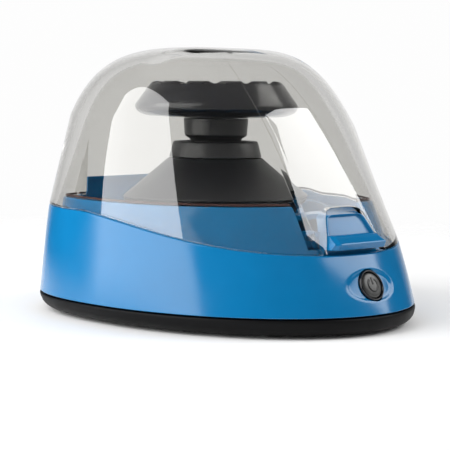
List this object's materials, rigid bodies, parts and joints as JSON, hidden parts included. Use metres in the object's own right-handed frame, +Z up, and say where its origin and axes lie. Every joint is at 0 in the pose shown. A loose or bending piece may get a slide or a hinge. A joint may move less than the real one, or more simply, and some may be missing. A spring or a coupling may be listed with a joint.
{
  "type": "laboratory mini centrifuge",
  "caption": "Bench-top mini centrifuge: clear hinged dome lid over a covered rotor, sloping housing on a flat tray, push latch and power button in front.",
  "frame": {"origin": "bench surface under the middle of the machine's overall box", "axes": "-Y is the front with the power button, +Y the hinge side, +Z up"},
  "size_m": [0.1298, 0.1529, 0.1039],
  "materials": {
    "blue_plastic": "gloss",
    "black_plastic": "satin",
    "black_gloss": "gloss",
    "clear_plastic": "gloss",
    "rubber": "matte",
    "seal_rubber": "matte",
    "steel": "satin",
    "aluminium": "satin",
    "circuit_board": "satin",
    "red_insulation": "satin",
    "grey_plastic": "satin"
  },
  "bodies": {
    "base": {"base_tray": "black_plastic", "upper_housing": "blue_plastic", "chamber_bowl": "blue_plastic", "rim_seal_left": "seal_rubber", "rim_seal_right": "seal_rubber", "rim_seal_back": "seal_rubber", "motor_can": "steel", "motor_end_cap": "black_plastic", "motor_damper": "rubber", "motor_screw_1": "steel", "motor_screw_2": "steel", "hinge_pin": "steel", "latch_pin": "steel", "latch_spring": "steel", "button_bezel": "black_gloss", "button_switch": "grey_plastic", "switch_board": "circuit_board", "switch_board_screw_1": "steel", "switch_board_screw_2": "steel", "control_board": "circuit_board", "control_board_screw_1": "steel", "control_board_screw_2": "steel", "capacitor": "grey_plastic", "driver_chip": "black_plastic", "lead_connector": "grey_plastic", "dc_jack": "black_plastic", "motor_lead_red": "red_insulation", "motor_lead_black": "black_plastic", "lid_switch": "grey_plastic", "foot_1": "rubber", "base_screw_1": "steel", "foot_2": "rubber", "base_screw_2": "steel", "foot_3": "rubber", "base_screw_3": "steel", "foot_4": "rubber", "base_screw_4": "steel"},
    "rotor": {"motor_shaft": "steel", "rotor_hub": "aluminium", "hub_o_ring": "rubber", "rotor_body": "black_plastic", "rotor_cover": "black_plastic", "rotor_collar": "black_plastic", "knob_neck": "black_plastic", "knob_disc": "black_gloss", "rotor_screw": "steel"},
    "lid": {"lid": "clear_plastic"},
    "latch": {"latch_tab": "blue_plastic"},
    "button": {"power_button": "grey_plastic"},
    "switch_plunger": {"lid_switch_plunger": "rubber"}
  },
  "joints": [
    {"name": "lid_hinge", "type": "hinge", "parent": "base", "child": "lid", "pos_m": [0, 0.0733, 0.043], "axis": [-1, 0, 0], "range_deg": [0, 80]},
    {"name": "rotor_spin", "type": "hinge", "parent": "base", "child": "rotor", "pos_m": [0, 0.012, 0], "axis": [0, 0, 1], "continuous": true},
    {"name": "latch_press", "type": "hinge", "parent": "base", "child": "latch", "pos_m": [0, -0.0576, 0.0245], "axis": [-1, 0, 0], "range_deg": [0, 8], "stiffness_Nm_per_rad": 0.15, "springref_deg": -5.73},
    {"name": "button_press", "type": "slide", "parent": "base", "child": "button", "axis": [0, 0.9056, -0.4242], "range_m": [0, 0.0012], "stiffness_N_per_m": 1500, "springref_m": -0.0005},
    {"name": "switch_plunger_press", "type": "slide", "parent": "base", "child": "switch_plunger", "axis": [0, 0, -1], "range_m": [0, 0.0015], "stiffness_N_per_m": 300, "springref_m": -0.001}
  ]
}
